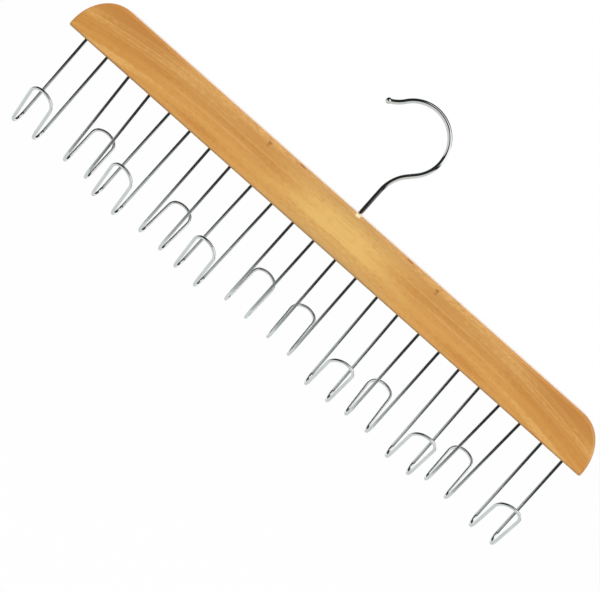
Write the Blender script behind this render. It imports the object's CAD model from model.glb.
"""Tie hanger: looks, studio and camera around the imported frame. Metres, in the frame's own axes."""
import math

import bpy
from mathutils import Matrix, Vector


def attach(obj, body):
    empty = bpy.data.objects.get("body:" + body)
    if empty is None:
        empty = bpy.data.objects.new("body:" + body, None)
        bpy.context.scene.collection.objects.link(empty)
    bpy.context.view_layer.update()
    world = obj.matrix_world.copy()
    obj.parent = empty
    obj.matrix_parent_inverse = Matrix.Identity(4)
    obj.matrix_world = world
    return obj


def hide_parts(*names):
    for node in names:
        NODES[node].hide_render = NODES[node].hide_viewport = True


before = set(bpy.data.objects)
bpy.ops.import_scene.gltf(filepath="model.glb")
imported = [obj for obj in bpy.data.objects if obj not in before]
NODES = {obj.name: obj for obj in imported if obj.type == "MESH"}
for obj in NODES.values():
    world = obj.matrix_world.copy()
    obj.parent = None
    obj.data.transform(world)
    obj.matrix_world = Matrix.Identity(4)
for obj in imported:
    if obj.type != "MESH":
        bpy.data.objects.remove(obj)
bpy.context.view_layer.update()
MM = 0.001

# Sizes as in the source, in millimetres
BAR_LENGTH, BAR_HEIGHT, BAR_THICK = 450.0, 33.2, 20.0
PITCH, TIE_D, LEG_DROP, LEG_INSERT = 18.3, 2.2, 65.0, 13.0
FOOT_R, ARM_SLOPE, LOOP_REACH = 7.0, 24.5, 28.5
OUTER_R, INNER_R, CROWN_TURN, TILT_FRONT, TILT_BACK = 5.5, 7.0, 60.0, 12.0, 2.0
WIRE_D, OFFSET, STEM_RISE, NECK_R, NECK_LEAN, NECK_RUN = 3.3, 1.4, 21.0, 26.0, 43.0, 6.0
RAIL_D, RAIL_SWEEP, TIP_R, TIP_SWEEP, BALL_D = 45.8, 185.0, 23.5, 27.5, 4.4
RECESS_DEPTH, WASHER_T, PLAY, RIVET_D, RIVET_H, RIVET_EDGE = 4.6, 0.8, 0.1, 6.4, 1.8, 0.15
HOOKS = 12
HALF = HOOKS // 2
# the six tie hooks of the left half, from the left; the right half mirrors them
SHIFT = [1, 0, 0.5, 1.5, 1, 0.5]  # along the bar, in millimetres
LEAN = [-1, 1.5, -1.5, -0.5, -1.5, -0.5]  # sideways, in degrees
TURN = [1, -1, 4, 4.5, 5.5, 3]  # about the upright, in degrees
STAND = [0.5, 0, 3, 2.5, 2.5, -1.5]  # out of the holes, in millimetres
SIDE = [-1, 1, -1, 1, -1, 1]  # -1 faces the front, 1 the back

# How finely the wires are drawn
STRAIGHT_STEP, BEND_STEP, BEND_LEAST = 6, 3, 6  # between rings in millimetres, in degrees, and rings a bend
TIE_SIDES, SWIVEL_SIDES, RIVET_SIDES, BALL_SIDES = 24, 36, 40, 32
RIVET_RINGS, BALL_RINGS = 8, 24
CAP_UV_STEP = 0.002


def cosd(a):
    return math.cos(math.radians(a))


def sind(a):
    return math.sin(math.radians(a))


def moved(x=0, y=0, z=0):
    return Matrix.Translation((x, y, z))


def turned(axis, degrees):
    return Matrix.Rotation(math.radians(degrees), 4, axis)


def mirrored(x=1, y=1):
    return Matrix.Diagonal((x, y, 1, 1))


RAIL_R = (RAIL_D + WIRE_D) / 2
NECK_X = NECK_R * (1 - cosd(NECK_LEAN)) + NECK_RUN * sind(NECK_LEAN)
NECK_Z = NECK_R * sind(NECK_LEAN) + NECK_RUN * cosd(NECK_LEAN)
ARC_X = NECK_X - RAIL_R * cosd(NECK_LEAN)
ARC_Z = BAR_HEIGHT + STEM_RISE + NECK_Z + RAIL_R * sind(NECK_LEAN)
SEAT_Z = ARC_Z + RAIL_D / 2
BAR_MIDDLE_X = -ARC_X - OFFSET
HANG = Matrix.Scale(MM, 4) @ moved(-ARC_X, 0, -SEAT_Z)


def linked(name, data):
    """A new object in the scene."""
    obj = bpy.data.objects.new(name, data)
    bpy.context.scene.collection.objects.link(obj)
    return obj


# Wires
def wire_rings(steps, place):
    """Follows a bending table. A ring is its matrix, its first point's angle and its distance along."""
    m, spin, length = place.copy(), 0.0, 0.0
    rings = [(m.copy(), spin, length)]
    for feed, radius, angle, turn in steps:
        m = m @ turned("Z", turn)
        spin -= math.radians(turn)
        if feed > 0:
            count = max(1, round(feed / STRAIGHT_STEP))
            for k in range(1, count + 1):
                rings.append((m @ moved(z=feed * k / count), spin, length + feed * k / count))
            m = m @ moved(z=feed)
            length += feed
        if angle > 0:
            count = max(BEND_LEAST, round(angle / BEND_STEP))
            for k in range(1, count + 1):
                a = angle * k / count
                bend = moved(radius * (1 - cosd(a)), 0, radius * sind(a)) @ turned("Y", a)
                rings.append((m @ bend, spin, length + radius * math.radians(a)))
            m = rings[-1][0].copy()
            length += radius * math.radians(angle)
    return rings


def quad_uv(j, sides, v0, v1):
    u0, u1 = j / sides, (j + 1) / sides
    return (u0, v0), (u1, v0), (u1, v1), (u0, v1)


def wire_mesh(name, steps, diameter, place, sides, extra=None):
    """Sweeps a round wire through a bending table from the matrix place. UVs run round and along it."""
    rings = wire_rings(steps, place)
    verts, faces, uvs = [], [], []
    for ring, start, _ in rings:
        for j in range(sides):
            a = 2 * math.pi * j / sides + start
            verts.append(ring @ Vector((math.cos(a) * diameter / 2, math.sin(a) * diameter / 2, 0)))
    for i in range(len(rings) - 1):
        for j in range(sides):
            k = (j + 1) % sides
            faces.append((i * sides + j, i * sides + k, (i + 1) * sides + k, (i + 1) * sides + j))
            uvs.append(quad_uv(j, sides, rings[i][2] * MM, rings[i + 1][2] * MM))
    last = (len(rings) - 1) * sides
    faces.append(tuple(reversed(range(sides))))
    uvs.append(((0.5, 0.0),) * sides)
    faces.append(tuple(last + j for j in range(sides)))
    uvs.append(((0.5, rings[-1][2] * MM),) * sides)
    if extra:
        extra(verts, faces, uvs)
    mesh = bpy.data.meshes.new(name)
    mesh.from_pydata([tuple(v) for v in verts], [], faces)
    layer = mesh.uv_layers.new(name="wire")
    layer.data.foreach_set("uv", [c for loop in uvs for pair in loop for c in pair])
    if place.determinant() < 0:
        mesh.flip_normals()
    mesh.polygons.foreach_set("use_smooth", [True] * len(mesh.polygons))
    mesh.update()
    return linked(name, mesh)


def add_revolved(place, profile, sides, verts, faces, uvs):
    """Adds a surface of revolution about +Z; profile is (radius, height) from pole to pole."""
    base = len(verts)
    for r, z in profile:
        for j in range(sides):
            a = 2 * math.pi * j / sides
            verts.append(place @ Vector((r * math.cos(a), r * math.sin(a), z)))
    for i in range(len(profile) - 1):
        a, b = base + i * sides, base + (i + 1) * sides
        for j in range(sides):
            k = (j + 1) % sides
            faces.append((a + j, a + k, b + k, b + j))
            uvs.append(quad_uv(j, sides, i * CAP_UV_STEP, (i + 1) * CAP_UV_STEP))


def at_hook(i):
    """Where tie hook i stands, and its place in the lists above."""
    right = i > HALF
    k = HOOKS - i if right else i - 1
    outward = (HALF - k) * 2 - 1
    m = HANG @ moved(-OFFSET) @ mirrored(x=-1 if right else 1)
    m = m @ moved(-outward * PITCH - SHIFT[k]) @ turned("Z", -TURN[k]) @ turned("Y", -LEAN[k])
    return m @ moved(z=-STAND[k]) @ mirrored(y=SIDE[k]), k


def tie_wire(i):
    place, k = at_hook(i)
    tilt = TILT_FRONT if SIDE[k] < 0 else TILT_BACK
    outer, inner = (180 - CROWN_TURN) / 2 + tilt, (180 - CROWN_TURN) / 2 - tilt
    span = PITCH - OUTER_R * (1 - cosd(outer)) - INNER_R * (1 - cosd(inner))
    crown = span / (cosd(outer) + cosd(inner))
    arm_outer = LOOP_REACH - OUTER_R * sind(outer) - crown * (1 - sind(outer))
    arm_inner = LOOP_REACH - INNER_R * sind(inner) - crown * (1 - sind(inner))
    leg, foot = LEG_INSERT + LEG_DROP, 180 - ARM_SLOPE
    steps = [
        (leg, FOOT_R, foot, -90),
        (arm_outer, OUTER_R, outer, 90),
        (0, crown, CROWN_TURN, 0),
        (0, INNER_R, inner, 0),
        (arm_inner, FOOT_R, foot, -90),
        (leg, 0, 0, 0),
    ]
    start = place @ moved(-PITCH / 2, 0, LEG_INSERT) @ turned("X", 180)
    obj = wire_mesh(f"tie_wire_{i:02d}", steps, TIE_D, start, TIE_SIDES)
    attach(obj, "bar")
    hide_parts(f"tie_hook_{i:02d}")
    return obj


def rivet_profile():
    """The riveted head: domed below, flat above, down to the shank."""
    radii = [RIVET_D / 2 * k / RIVET_RINGS for k in range(RIVET_RINGS + 1)]
    dome = [(r, RIVET_D - math.sqrt(RIVET_D ** 2 - r ** 2)) for r in radii]
    edge = [(RIVET_D / 2, RIVET_H - RIVET_EDGE), (RIVET_D / 2 - RIVET_EDGE, RIVET_H)]
    return dome + edge + [(WIRE_D / 2, RIVET_H)]


def ball_profile():
    angles = [180 * k / BALL_RINGS for k in range(BALL_RINGS + 1)]
    return [(BALL_D / 2 * sind(a), -BALL_D / 2 * cosd(a)) for a in angles]


def swivel_wire():
    rivet_z = RECESS_DEPTH - WASHER_T - PLAY - RIVET_H
    shank = BAR_HEIGHT - rivet_z
    steps = [
        (shank + STEM_RISE, NECK_R, NECK_LEAN, 0),
        (NECK_RUN, RAIL_R, RAIL_SWEEP, 180),
        (0, TIP_R, TIP_SWEEP, 180),
    ]
    start = HANG @ moved(z=rivet_z)
    arc_end = RAIL_SWEEP - NECK_LEAN
    curl_x = ARC_X + (RAIL_R + TIP_R) * cosd(arc_end)
    curl_z = ARC_Z + (RAIL_R + TIP_R) * sind(arc_end)
    tip = arc_end + 180 - TIP_SWEEP
    ball_at = HANG @ moved(curl_x + TIP_R * cosd(tip), 0, curl_z + TIP_R * sind(tip))

    def extra(*lists):
        add_revolved(start, rivet_profile(), RIVET_SIDES, *lists)
        add_revolved(ball_at, ball_profile(), BALL_SIDES, *lists)

    obj = wire_mesh("swivel_wire", steps, WIRE_D, start, SWIVEL_SIDES, extra)
    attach(obj, "hook")
    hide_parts("swivel_hook")
    return obj


# Node trees
class Graph:
    """A few short words for building the nodes of a material or world."""

    def __init__(self, owner, output="OutputMaterial"):
        self.owner = owner
        owner.use_nodes = True
        self.tree = owner.node_tree
        self.tree.nodes.clear()
        self.out = self.node(output)

    def done(self, shader):
        self.put(self.out.inputs["Surface"], shader.outputs[0])
        return self.owner

    def put(self, socket, value):
        if isinstance(value, bpy.types.NodeSocket):
            self.tree.links.new(value, socket)
        else:
            socket.default_value = value

    def node(self, kind, sockets=None, **settings):
        n = self.tree.nodes.new("ShaderNode" + kind)
        for key, value in settings.items():
            setattr(n, key, value)
        for key, value in (sockets or {}).items():
            self.put(n.inputs[key], value)
        return n

    def math(self, op, a, b=None):
        n = self.node("Math", operation=op)
        self.put(n.inputs[0], a)
        if b is not None:
            self.put(n.inputs[1], b)
        return n.outputs[0]

    def add(self, a, b):
        return self.math("ADD", a, b)

    def sub(self, a, b):
        return self.math("SUBTRACT", a, b)

    def mul(self, a, b):
        return self.math("MULTIPLY", a, b)

    def div(self, a, b):
        return self.math("DIVIDE", a, b)

    def squares(self, a, b):
        return self.add(self.mul(a, a), self.mul(b, b))

    def distance(self, a, b):
        return self.math("SQRT", self.squares(a, b))

    def swing(self, noise, amount):
        """A noise about zero instead of a half."""
        return self.mul(self.sub(noise, 0.5), amount)

    def split(self, vector):
        return self.node("SeparateXYZ", {0: vector}).outputs

    def smooth(self, value, low, high, to_low=0.0, to_high=1.0):
        """A smooth step from to_low at low to to_high at high."""
        sockets = {"Value": value, "From Min": low, "From Max": high, "To Min": to_low, "To Max": to_high}
        return self.node("MapRange", sockets, interpolation_type="SMOOTHSTEP").outputs[0]

    def mix(self, factor, a, b):
        n = self.node("Mix", data_type="RGBA")
        for i, v in ((0, factor), (6, a), (7, b)):
            self.put(n.inputs[i], v)
        return n.outputs[2]

    def noise(self, vector, detail, rough=0.5, distortion=0.0):
        sockets = {"Scale": 1.0, "Detail": detail, "Roughness": rough, "Distortion": distortion}
        return self.node("TexNoise", {"Vector": vector, **sockets}).outputs[0]

    def texture(self, source, scale, detail, rough=0.5, offset=(0, 0, 0), distortion=0.0):
        """Noise drawn out along an axis; scale is in cells per metre, one number per axis."""
        vector = self.node("Mapping", {"Vector": source, "Scale": scale, "Location": offset}).outputs[0]
        return self.noise(vector, detail, rough, distortion)

    def bump(self, height, strength, distance):
        sockets = {"Strength": strength, "Distance": distance, "Height": height}
        return self.node("Bump", sockets).outputs[0]


def new_material(name):
    return Graph(bpy.data.materials.new(name))


def rgb(r, g, b):
    """Linear colour from the eight-bit values that it shows as."""
    def lin(c):
        c /= 255
        return c / 12.92 if c <= 0.04045 else ((c + 0.055) / 1.055) ** 2.4
    return (lin(r), lin(g), lin(b), 1.0)


def grey(value):
    return (value, value, value, 1)


# Wood
# colours: in the middle, further out and at the ends, then of the marks and the end grain
GOLD, GOLD_FLANK = rgb(226, 183, 107), rgb(202, 158, 95)
HONEY, HONEY_UPPER = rgb(212, 156, 83), rgb(199, 144, 79)
AMBER, AMBER_UPPER = rgb(202, 143, 69), rgb(189, 131, 66)
RIM = rgb(185, 135, 76)
DARK_TONE, LIGHT_TONE, LINE = rgb(189, 126, 57), rgb(231, 183, 110), rgb(240, 198, 128)
FIBRE, FLECK, KNOT = rgb(172, 108, 48), rgb(160, 96, 40), rgb(138, 66, 28)
END_EARLY, END_LATE, END_LOW = rgb(198, 102, 30), rgb(168, 76, 20), rgb(214, 148, 76)
PORE, BARE = rgb(130, 62, 26), rgb(238, 214, 176)
# textures: scale, detail, and where they differ from the default, roughness, offset and distortion
CLOUDS = ((9, 45, 60), 2, 0.5, (0.3, 0.1, 0.7))
STREAKS = ((3.5, 130, 150), 3, 0.55, (0.0, 0.0, 0.37), 0.3)
FIGURE = ((260, 700, 700), 2, 0.6)
LINES = ((5, 420, 420), 2, 0.5, (0.0, 3.0, 1.0))
FIBRES = ((60, 1800, 1800), 3, 0.6)
FLECKS = ((240, 1300, 1300), 2)
PORES = ((300, 1500, 1500), 2, 0.6)
RING_WAVES, LACQUER_WAVES = ((20, 90, 90), 2), ((50, 220, 220), 2)
# steps, as smooth takes them: places in metres from the bar's middle, or a texture's values
MIDDLE_OUT, ENDS = (0.008, 0.085), (0.13, 0.19, 0.0, 0.9)
UPPER_PART, FLANKS = (-0.012, 0.016), (0.004, 0.0165)
RIM_HEIGHT, RIM_LENGTH = (0.0115, 0.0150), (0.08, 0.15, 0.5, 0.0)
DARKER, LIGHTER = (0.0, 0.6, 0.0, 0.7), (0.0, -0.6, 0.0, 0.7)
PALE_LINES, DARK_FIBRES = (0.58, 0.72, 0.0, 0.25), (0.45, 0.75, 0.0, 0.2)
DARK_FLECKS, OPEN_PORES = (0.60, 0.72, 0.0, 0.3), (0.5, 0.7, 0.0, 0.3)
EARLY_TO_LATE, LATE_TO_EARLY = (0.2, 0.9), (0.93, 1.0)
END_FOOT, FACING_OUT = (-0.004, -0.013, 0.0, 0.4), (0.5, 0.9)
CLOUD_SHARE, STREAK_SHARE, FIGURE_SHARE, END_SHARE = 1.5, 1.3, 0.8, 0.85
FOLD = 0.01  # how softly the two mirrored halves of the figure meet
BOW_FROM, BOW = 0.11, 0.95  # where the grain starts to bow down, and how much
# soft bands along the bar: height, half height, from, full at, darkness
BANDS = ((0.0042, 0.0040, 0.03, 0.17, 0.22), (-0.0072, 0.0032, 0.03, 0.08, -0.20))
# pin knots near the top edge: distance out, height, half length, half height, depth
KNOTS = ((0.0738, 0.0130, 0.0017, 0.0009, 0.6), (0.0742, 0.0112, 0.0010, 0.0015, 0.3),
         (0.0480, 0.0157, 0.0030, 0.0007, 0.6))
KNOT_EDGE = (0.1, 1.6)
# growth rings: where their heart lies, how many to the metre, how far they stray, how dark late wood is
HEART_Y, HEART_Z, RINGS_PER_M, RING_WOBBLE, LATE_SHARE = 0.046, -0.085, 420.0, 0.004, 0.5
# bare chip at the foot of the stem: its middle, half sizes and ragged edge; then both bare places' steps
CHIP_Y, CHIP_HALF_X, CHIP_HALF_Y, CHIP_RAGGED = -0.0040, 0.0027, 0.0070, 1.5
CHIP_EDGE, CHIP_TOP = (0.8, 1.2, 1.0, 0.0), (0.0138, 0.0150)
RECESS_EDGE, RECESS_FOOT, RECESS_TOP = (0.0050, 0.0053, 1.0, 0.0), (-0.0165, -0.0160), (0.0, 0.01, 1.0, 0.0)
# roughness of plain wood, then what fibres and end grain add; bumps are strength and distance
WOOD_ROUGH, FIBRE_ROUGH, END_ROUGH = 0.36, 0.25, 0.08
FIBRE_HEIGHT, FLECK_HEIGHT, HEIGHT_IN_COAT = 0.6, -0.6, 0.12
WOOD_BUMP, COAT_BUMP = (0.3, 0.0001), (0.12, 0.0002)


def wood_base(g, away, z):
    """Yellower and lighter in the middle of the bar, more orange towards the ends and along the top."""
    upper = g.smooth(z, *UPPER_PART)
    near = g.mix(g.smooth(g.math("ABSOLUTE", z), *FLANKS), GOLD, GOLD_FLANK)
    base = g.mix(g.smooth(away, *MIDDLE_OUT), near, g.mix(upper, HONEY, HONEY_UPPER))
    base = g.mix(g.smooth(away, *ENDS), base, g.mix(upper, AMBER, AMBER_UPPER))
    rim = g.mul(g.smooth(z, *RIM_HEIGHT), g.smooth(away, *RIM_LENGTH))
    return g.mix(rim, base, RIM)


def end_grain(g, centred, y, z):
    """Deeper orange brown, with growth rings and open pores, lighter at the foot."""
    radius = g.distance(g.sub(y, HEART_Y), g.sub(z, HEART_Z))
    radius = g.add(radius, g.swing(g.texture(centred, *RING_WAVES), RING_WOBBLE))
    ring = g.math("FRACT", g.mul(radius, RINGS_PER_M))
    late = g.mul(g.smooth(ring, *EARLY_TO_LATE), g.sub(1.0, g.smooth(ring, *LATE_TO_EARLY)))
    colour = g.mix(g.mul(late, LATE_SHARE), END_EARLY, END_LATE)
    colour = g.mix(g.smooth(g.texture(centred, *PORES), *OPEN_PORES), colour, PORE)
    return g.mix(g.smooth(z, *END_FOOT), colour, END_LOW)


def bare_wood(g, x, y, z, figure):
    """Where the lacquer is missing: a chip at the foot of the stem, and the recess under the bar."""
    axis_x = g.sub(x, OFFSET * MM)
    chip = g.squares(g.div(axis_x, CHIP_HALF_X), g.div(g.sub(y, CHIP_Y), CHIP_HALF_Y))
    chip = g.add(chip, g.swing(figure, CHIP_RAGGED))
    chip = g.mul(g.smooth(chip, *CHIP_EDGE), g.smooth(z, *CHIP_TOP))
    recess = g.mul(g.smooth(g.distance(axis_x, y), *RECESS_EDGE), g.smooth(z, *RECESS_FOOT))
    recess = g.mul(recess, g.smooth(z, *RECESS_TOP))
    return g.math("MAXIMUM", chip, recess)


def wood_material():
    g = new_material("lacquered_wood")
    where = g.node("TexCoord")
    middle = (-BAR_MIDDLE_X * MM, 0, (SEAT_Z - BAR_HEIGHT / 2) * MM)
    centred = g.node("VectorMath", {0: where.outputs["Object"], 1: middle}, operation="ADD").outputs[0]
    x, y, z = g.split(centred)

    # the grain runs along the bar and bows down towards both ends; the figure is the same on both halves
    away = g.math("SQRT", g.add(g.mul(x, x), FOLD ** 2))
    past = g.math("MAXIMUM", g.sub(away, BOW_FROM), 0.0)
    bowed = g.add(z, g.mul(g.mul(past, past), BOW))
    grain = g.node("CombineXYZ", {0: away, 1: y, 2: bowed}).outputs[0]

    # soft clouds, long streaks, a lively figure, thin lines and fibres, each drawn out along the grain
    cloud, streak, figure = (g.texture(grain, *kind) for kind in (CLOUDS, STREAKS, FIGURE))
    line, fibre, fleck = (g.texture(grain, *kind) for kind in (LINES, FIBRES, FLECKS))

    tone = g.add(g.swing(cloud, CLOUD_SHARE), g.swing(streak, STREAK_SHARE))
    tone = g.add(tone, g.swing(figure, FIGURE_SHARE))
    for at, half, start, full, depth in BANDS:
        off = g.div(g.sub(bowed, at), half)
        band = g.smooth(g.mul(off, off), 0.0, 1.0, depth, 0.0)
        tone = g.add(tone, g.mul(band, g.smooth(away, start, full)))
    colour = wood_base(g, away, z)
    colour = g.mix(g.smooth(tone, *DARKER), colour, DARK_TONE)
    colour = g.mix(g.smooth(tone, *LIGHTER), colour, LIGHT_TONE)
    colour = g.mix(g.smooth(line, *PALE_LINES), colour, LINE)
    colour = g.mix(g.smooth(fibre, *DARK_FIBRES), colour, FIBRE)
    colour = g.mix(g.smooth(fleck, *DARK_FLECKS), colour, FLECK)
    for at, up, long, high, deep in KNOTS:
        spot = g.squares(g.div(g.sub(away, at), long), g.div(g.sub(z, up), high))
        colour = g.mix(g.smooth(spot, *KNOT_EDGE, deep, 0.0), colour, KNOT)

    across = g.math("ABSOLUTE", g.split(where.outputs["Normal"])[0])
    end = g.smooth(across, *FACING_OUT)
    colour = g.mix(g.mul(end, END_SHARE), colour, end_grain(g, centred, y, z))
    colour = g.mix(bare_wood(g, x, y, z, figure), colour, BARE)

    # lacquer: the fibres show in it a little, over long soft waves
    rough = g.add(g.add(g.swing(fibre, FIBRE_ROUGH), WOOD_ROUGH), g.mul(end, END_ROUGH))
    height = g.add(g.mul(fibre, FIBRE_HEIGHT), g.mul(fleck, FLECK_HEIGHT))
    gloss = g.add(g.texture(centred, *LACQUER_WAVES), g.mul(height, HEIGHT_IN_COAT))
    return g.done(g.node("BsdfPrincipled", {
        "Base Color": colour, "Roughness": rough, "Normal": g.bump(height, *WOOD_BUMP), "IOR": 1.5,
        "Specular IOR Level": 0.15, "Coat Weight": 0.85, "Coat Roughness": 0.16, "Coat IOR": 1.5,
        "Coat Normal": g.bump(gloss, *COAT_BUMP)}))


# Metals
PLATE_DULL, PLATE_BRIGHT, PIT = (0.84, 0.87, 0.86, 1), (0.92, 0.94, 0.94, 1), (0.2, 0.19, 0.18, 1)
ZINC_DULL, ZINC_BRIGHT = (0.42, 0.43, 0.45, 1), (0.58, 0.58, 0.59, 1)
DRAWN, PLATING, PITS = ((30, 25, 1), 3, 0.6), ((160, 160, 90), 3), ((2600, 2600, 2600), 1)
ZINC_CLOUDS, CLOUD_STEP, PIT_STEP = ((700, 700, 700), 3), (0.3, 0.7), (0.72, 0.78)
TURNING_PER_M = 9000.0  # tool marks round the washer
PLATE_ROUGH, DRAWN_ROUGH, PIT_ROUGH, PIT_SHARE = 0.03, 0.1, 0.2, 0.5
ZINC_ROUGH, TURNING_ROUGH = 0.28, 0.2
PLATE_BUMP, ZINC_BUMP = (0.05, 0.00003), (0.25, 0.00005)


def wire_material():
    g = new_material("chromed_wire")
    where = g.node("TexCoord")
    drawn = g.texture(where.outputs["UV"], *DRAWN)
    cloud = g.texture(where.outputs["Object"], *PLATING)
    pit = g.smooth(g.texture(where.outputs["Object"], *PITS), *PIT_STEP)
    colour = g.mix(g.smooth(cloud, *CLOUD_STEP), PLATE_DULL, PLATE_BRIGHT)
    colour = g.mix(g.mul(pit, PIT_SHARE), colour, PIT)
    rough = g.add(g.add(g.mul(drawn, DRAWN_ROUGH), PLATE_ROUGH), g.mul(pit, PIT_ROUGH))
    bump = g.bump(g.sub(drawn, pit), *PLATE_BUMP)
    return g.done(g.node("BsdfPrincipled", {
        "Base Color": colour, "Metallic": 1.0, "Roughness": rough, "Normal": bump}))


def washer_material():
    g = new_material("zinc_washer")
    co = g.node("TexCoord").outputs["Object"]
    x, y, _ = g.split(co)
    radius = g.distance(g.add(x, ARC_X * MM), y)
    turning = g.noise(g.node("CombineXYZ", {0: g.mul(radius, TURNING_PER_M)}).outputs[0], 2)
    colour = g.mix(g.smooth(g.texture(co, *ZINC_CLOUDS), *CLOUD_STEP), ZINC_DULL, ZINC_BRIGHT)
    rough = g.add(g.mul(turning, TURNING_ROUGH), ZINC_ROUGH)
    bump = g.bump(turning, *ZINC_BUMP)
    return g.done(g.node("BsdfPrincipled", {
        "Base Color": colour, "Metallic": 1.0, "Roughness": rough, "Normal": bump}))


# Dressing the part
SMOOTH_LIMIT, WELD = 25, 1e-6  # degrees between faces that still shade as one, and metres


def smooth_shading(obj, limit):
    """Smooth normals within a face region, weighted by face size; the modifiers leave the mesh as it is."""
    group = bpy.data.node_groups.new(obj.name + "_smooth", "GeometryNodeTree")
    for way in ("INPUT", "OUTPUT"):
        group.interface.new_socket("Geometry", in_out=way, socket_type="NodeSocketGeometry")
    new, link = group.nodes.new, group.links.new
    start, end = new("NodeGroupInput"), new("NodeGroupOutput")
    merge = new("GeometryNodeMergeByDistance")
    merge.inputs["Distance"].default_value = WELD
    faces, edges = new("GeometryNodeSetShadeSmooth"), new("GeometryNodeSetShadeSmooth")
    faces.domain, edges.domain = "FACE", "EDGE"
    angle, flat = new("GeometryNodeInputMeshEdgeAngle"), new("FunctionNodeCompare")
    flat.operation = "LESS_EQUAL"
    flat.inputs[1].default_value = math.radians(limit)
    link(start.outputs[0], merge.inputs[0])
    link(merge.outputs[0], faces.inputs[0])
    link(faces.outputs[0], edges.inputs[0])
    link(angle.outputs["Unsigned Angle"], flat.inputs[0])
    link(flat.outputs[0], edges.inputs["Shade Smooth"])
    link(edges.outputs[0], end.inputs[0])
    obj.modifiers.new("smooth", "NODES").node_group = group
    weighted = obj.modifiers.new("weighted", "WEIGHTED_NORMAL")
    weighted.keep_sharp = True
    weighted.weight = 100


def dress(node, material):
    for slot in node.material_slots:
        slot.material = material


CHROME = wire_material()
dress(NODES["wooden_bar"], wood_material())
smooth_shading(NODES["wooden_bar"], SMOOTH_LIMIT)
dress(NODES["swivel_washer"], washer_material())
for number in range(1, HOOKS + 1):
    tie_wire(number).data.materials.append(CHROME)
swivel_wire().data.materials.append(CHROME)

# Studio
FLOOR_Z, FLOOR_SIZE = -0.75, (24, 24)
FLOOR_PAINT, FLOOR_SHOWN = 0.5, 0.985  # the rest of what the camera sees of the floor takes the shadow
TABLE_LIFT, TABLE_TINT = 0.002, (0.65, 0.68, 0.67, 1)
DOME_R, DOME_LIFT, DOME_ROWS, DOME_PARTS, DOME_BLACK = 3.2, 0.005, 24, 72, 0.02
# the flag stays inside the bar's outline, just below it
FLAG_SIZE, FLAG_DROP, FLAG_BLACK = ((BAR_LENGTH - 20) * MM, (BAR_THICK - 2) * MM), 0.0003, 0.03
# openings in the dome, as steps of the height or of the direction's parts: x right, y behind, z up
THINNER_LOW = (-0.67, -0.53, 0.40, 1.0)
SILL, LINTEL = (0.12, 0.48, 0.60, -0.03), (0.0, 0.25, 0.86, 0.42)
ABOVE_SILL, BELOW_LINTEL, LEFT_END = (-0.06, 0.06), (-0.04, 0.04, 1.0, 0.0), (-0.35, -0.1)
WEDGE_SLOPE, WEDGE_EDGE, WEDGE_TOP = 1.2, (0.02, 0.10), (0.55, 0.62, 1.0, 0.0)
BEHIND, BEHIND_TOP = (0.3, 0.6), (0.30, 0.50, 1.0, 0.0)
WORLD_LIGHT = 0.65
UP = (0, 0, 1)


def plane(name, centre, size, facing, material):
    """A flat panel; size is (width, height), facing its normal."""
    w, h = size[0] / 2, size[1] / 2
    mesh = bpy.data.meshes.new(name)
    mesh.from_pydata([(-w, -h, 0), (w, -h, 0), (w, h, 0), (-w, h, 0)], [], [(0, 1, 2, 3)])
    mesh.materials.append(material)
    obj = linked(name, mesh)
    obj.location = centre
    obj.rotation_mode = "QUATERNION"
    obj.rotation_quaternion = Vector(facing).to_track_quat("Z", "Y")
    return obj


def mirrors_only(obj):
    """Seen in reflections alone: it shows to nothing else, and it neither lights nor shades the part."""
    obj.visible_camera = obj.visible_diffuse = obj.visible_shadow = obj.visible_transmission = False


def seen(g):
    """1 for the rays that show the white background: from the camera, in mirrors and through glass."""
    ray = g.node("LightPath").outputs
    direct = g.math("MAXIMUM", ray["Is Camera Ray"], ray["Is Glossy Ray"])
    return g.math("MAXIMUM", direct, ray["Is Transmission Ray"])


def floor_material():
    """White paint with a glow for the rays that show it, clear from below."""
    g = new_material("white_floor")
    paint = g.node("BsdfDiffuse", {"Color": grey(FLOOR_PAINT)})
    glow = g.node("Emission", {"Color": grey(1), "Strength": 1.0})
    shown = g.node("MixShader", {0: g.mul(seen(g), FLOOR_SHOWN), 1: paint.outputs[0], 2: glow.outputs[0]})
    below = g.node("NewGeometry").outputs["Backfacing"]
    clear = g.node("BsdfTransparent")
    return g.done(g.node("MixShader", {0: below, 1: shown.outputs[0], 2: clear.outputs[0]}))


def glow_material(name, colour):
    g = new_material(name)
    return g.done(g.node("Emission", {"Color": colour, "Strength": 1.0}))


def dark_material():
    """Black with openings: thinner at the floor, a window from the front round to the right, a gap behind."""
    g = new_material("dark_room")
    place = g.node("TexCoord").outputs["Object"]
    ux, uy, uz = g.split(g.node("VectorMath", {0: place}, operation="NORMALIZE").outputs[0])
    low = g.smooth(g.split(place)[2], *THINNER_LOW)
    # the window lies between a sill and a lintel, ends at the left, and a black wedge crosses it there
    sill = g.smooth(g.sub(uz, g.smooth(ux, *SILL)), *ABOVE_SILL)
    lintel = g.smooth(g.sub(uz, g.smooth(uy, *LINTEL)), *BELOW_LINTEL)
    window = g.mul(g.mul(sill, lintel), g.smooth(ux, *LEFT_END))
    slope = g.sub(uz, g.mul(ux, WEDGE_SLOPE))
    wedge = g.mul(g.smooth(slope, *WEDGE_EDGE), g.smooth(uz, *WEDGE_TOP))
    window = g.mul(window, g.sub(1.0, wedge))
    behind = g.mul(g.smooth(uy, *BEHIND), g.smooth(uz, *BEHIND_TOP))
    dark = g.mul(low, g.sub(1.0, g.math("MAXIMUM", window, behind)))
    black = g.node("Emission", {"Color": grey(DOME_BLACK), "Strength": 1.0})
    clear = g.node("BsdfTransparent")
    return g.done(g.node("MixShader", {0: dark, 1: clear.outputs[0], 2: black.outputs[0]}))


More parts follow.
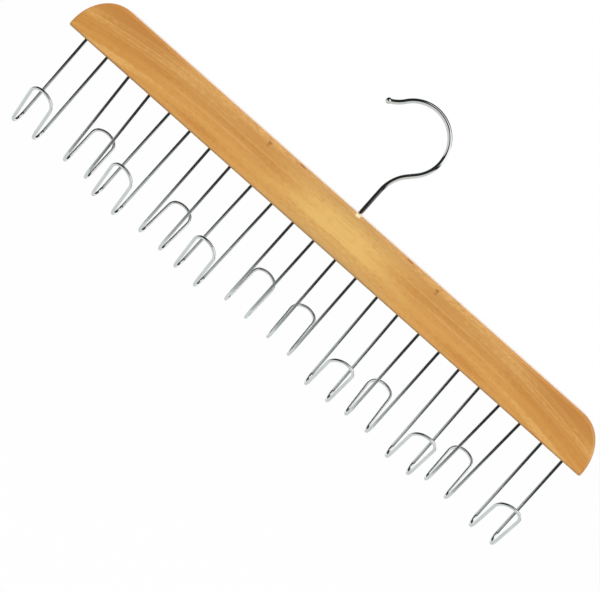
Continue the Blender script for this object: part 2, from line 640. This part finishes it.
def dark_room(radius, low, rows, parts):
    """A dome around the object, open below."""
    verts, faces = [], []
    for i in range(rows + 1):
        z = low + (radius - low) * math.sin(math.pi / 2 * i / rows)
        around = math.sqrt(max(0.0, radius ** 2 - z ** 2))
        angles = [2 * math.pi * k / parts for k in range(parts)]
        verts += [(around * math.cos(a), around * math.sin(a), z) for a in angles]
    for i in range(rows):
        for k in range(parts):
            n = (k + 1) % parts
            faces.append((i * parts + k, i * parts + n, (i + 1) * parts + n, (i + 1) * parts + k))
    mesh = bpy.data.meshes.new("dark_room")
    mesh.from_pydata(verts, [], faces)
    mesh.materials.append(dark_material())
    obj = linked("dark_room", mesh)
    mirrors_only(obj)


# the dome, table and flag draw the dark and light lines in the wires; the flag keeps the lit wood out of them
tint, black_flag = glow_material("grey_table", TABLE_TINT), glow_material("black_flag", grey(FLAG_BLACK))
table_at, flag_at = (0, 0, FLOOR_Z + TABLE_LIFT), (BAR_MIDDLE_X * MM, 0, -SEAT_Z * MM - FLAG_DROP)
plane("floor", (0, 0, FLOOR_Z), FLOOR_SIZE, UP, floor_material())
mirrors_only(plane("table", table_at, FLOOR_SIZE, UP, tint))
mirrors_only(plane("flag", flag_at, FLAG_SIZE, UP, black_flag))
dark_room(DOME_R, FLOOR_Z + DOME_LIFT, DOME_ROWS, DOME_PARTS)

LAMP_AIM = (0.0, 0.0, -0.1)
# lamps: name, place, width and height, watts
LAMPS = (
    ("key", (-0.9, -1.5, 1.0), (0.9, 0.9), 20),
    ("fill", (1.3, -1.2, 0.5), (0.9, 0.9), 11),
    ("top", (0.0, 0.5, 1.3), (1.4, 0.8), 9),
    ("back", (0.7, 1.6, 0.4), (0.9, 0.9), 9),
)
for name, place, size, watts in LAMPS:
    light = bpy.data.lights.new(name, "AREA")
    light.shape = "RECTANGLE"
    light.size, light.size_y = size
    light.energy = watts
    lamp = linked(name, light)
    lamp.location = place
    lamp.rotation_mode = "QUATERNION"
    lamp.rotation_quaternion = (Vector(place) - Vector(LAMP_AIM)).to_track_quat("Z", "Y")
    lamp.visible_glossy = False

world = bpy.data.worlds.new("studio")
bpy.context.scene.world = world
sky = Graph(world, "OutputWorld")
lit = sky.node("Background", {"Color": grey(1), "Strength": WORLD_LIGHT})
white = sky.node("Background", {"Color": grey(1)})
sky.done(sky.node("MixShader", {0: seen(sky), 1: lit.outputs[0], 2: white.outputs[0]}))

# Camera, fitted to the photograph
CAMERA_AT = (0.010005, -0.921494, -0.028368)
YAW, TILT, ROLL = -0.00374, -0.1316, 0.72589
SENSOR, LENS, CLIP = 36.0, 83.398, (0.05, 60)

right = Vector((math.cos(YAW), math.sin(YAW), 0))
ahead = Vector((-math.sin(YAW) * math.cos(TILT), math.cos(YAW) * math.cos(TILT), math.sin(TILT)))
up = right.cross(ahead)
cam_x = right * math.cos(ROLL) + up * math.sin(ROLL)
cam_y = up * math.cos(ROLL) - right * math.sin(ROLL)
data = bpy.data.cameras.new("camera")
data.sensor_fit = "HORIZONTAL"
data.sensor_width = SENSOR
data.lens = LENS
data.clip_start, data.clip_end = CLIP
camera = linked("camera", data)
camera.matrix_world = moved(*CAMERA_AT) @ Matrix((cam_x, cam_y, -ahead)).transposed().to_4x4()
bpy.context.scene.camera = camera
bpy.context.scene.view_settings.view_transform = "Standard"
